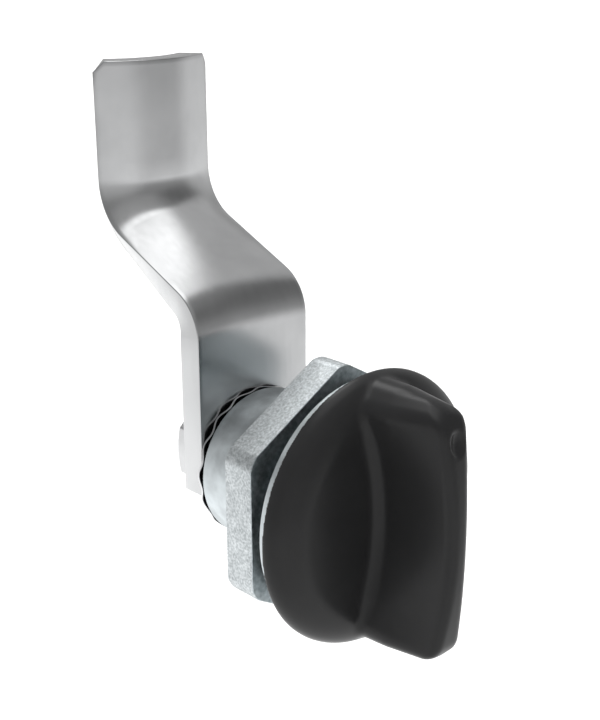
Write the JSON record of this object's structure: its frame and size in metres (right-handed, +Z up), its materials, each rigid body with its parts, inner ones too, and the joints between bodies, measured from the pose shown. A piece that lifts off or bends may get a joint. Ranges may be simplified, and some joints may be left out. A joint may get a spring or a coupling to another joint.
{
  "type": "quarter-turn cam latch",
  "caption": "Quarter-turn latch for a panel or door: black wing knob, round flanged barrel with a hex nut, and a cranked steel cam that swings behind the frame.",
  "frame": {"origin": "centre of the flange's flat back, on the spindle axis, where the front of the panel lies", "axes": "+Y runs along the spindle, from the knob to the cam behind the panel; +Z is up, the way the cam points when the latch is shut; +X is to the right seen from the knob"},
  "size_m": [0.031, 0.0517, 0.0609],
  "materials": {
    "knob_plastic": "fine matt moulded black plastic",
    "spindle_steel": "turned, plated",
    "seal_rubber": "black rubber",
    "housing_zinc": "satin plated die casting",
    "nut_casting": "sandy cast surface, plated",
    "bush_zinc": "plated",
    "washer_steel": "bright spring steel",
    "cam_steel": "satin zinc-plated sheet",
    "screw_steel": "zinc-plated"
  },
  "bodies": {
    "fixed_body": {"housing": "housing_zinc", "seat_gasket": "seal_rubber", "hex_nut": "nut_casting"},
    "turning_body": {"wing_knob": "knob_plastic", "spindle": "spindle_steel", "spindle_seal": "seal_rubber", "stop_bush": "bush_zinc", "wave_washer": "washer_steel", "cam": "cam_steel", "lock_washer": "washer_steel", "cam_screw": "screw_steel"}
  },
  "joints": [
    {"name": "knob_turn", "type": "hinge", "parent": "fixed_body", "child": "turning_body", "pos_m": [0, 0, 0], "axis": [0, 1, 0], "range_deg": [0, 90]}
  ]
}
